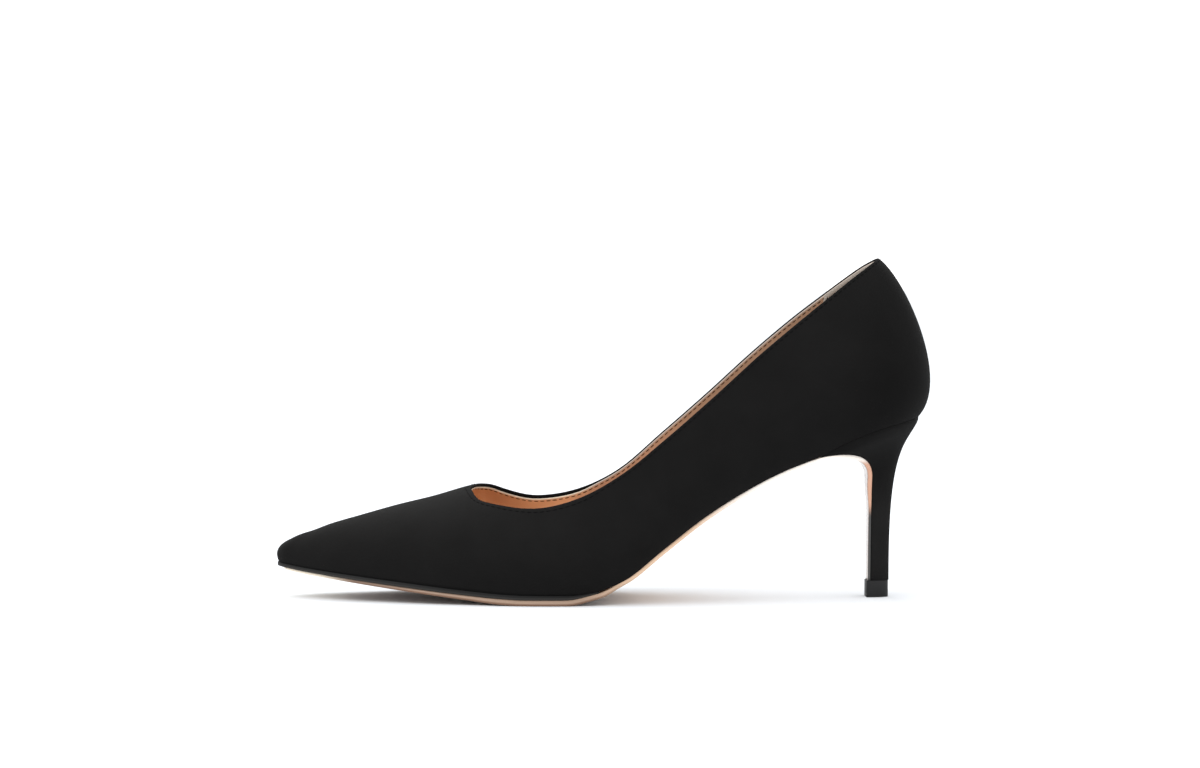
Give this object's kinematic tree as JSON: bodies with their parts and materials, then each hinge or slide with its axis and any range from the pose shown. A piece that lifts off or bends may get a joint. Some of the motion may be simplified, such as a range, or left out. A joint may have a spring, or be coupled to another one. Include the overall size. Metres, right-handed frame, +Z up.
{
  "type": "high heel shoe",
  "caption": "Left pointed-toe pump with a slim covered heel, a black suede upper, a tan leather lining and a nude leather sole that turns down the breast of the heel.",
  "frame": {"origin": "centre of the bounding box at the floor", "axes": "+Z up, the toe points along -X and the heel lies at +X, the outer side of the left foot faces -Y and the inner side +Y"},
  "size_m": [0.245, 0.0742, 0.1273],
  "materials": {
    "suede": "black suede with a short soft nap",
    "lining_leather": "smooth tan lining leather",
    "edge_black": "black, smooth, slightly glossy edge",
    "sole_leather": "nude smooth sole leather",
    "heel_cover": "black suede over a hard heel block",
    "toplift_rubber": "hard matte black rubber"
  },
  "bodies": {
    "root": {"upper": "suede", "insole": "lining_leather", "slip_sole": "edge_black", "outsole": "sole_leather", "heel": "heel_cover", "toplift": "toplift_rubber"}
  },
  "joints": []
}
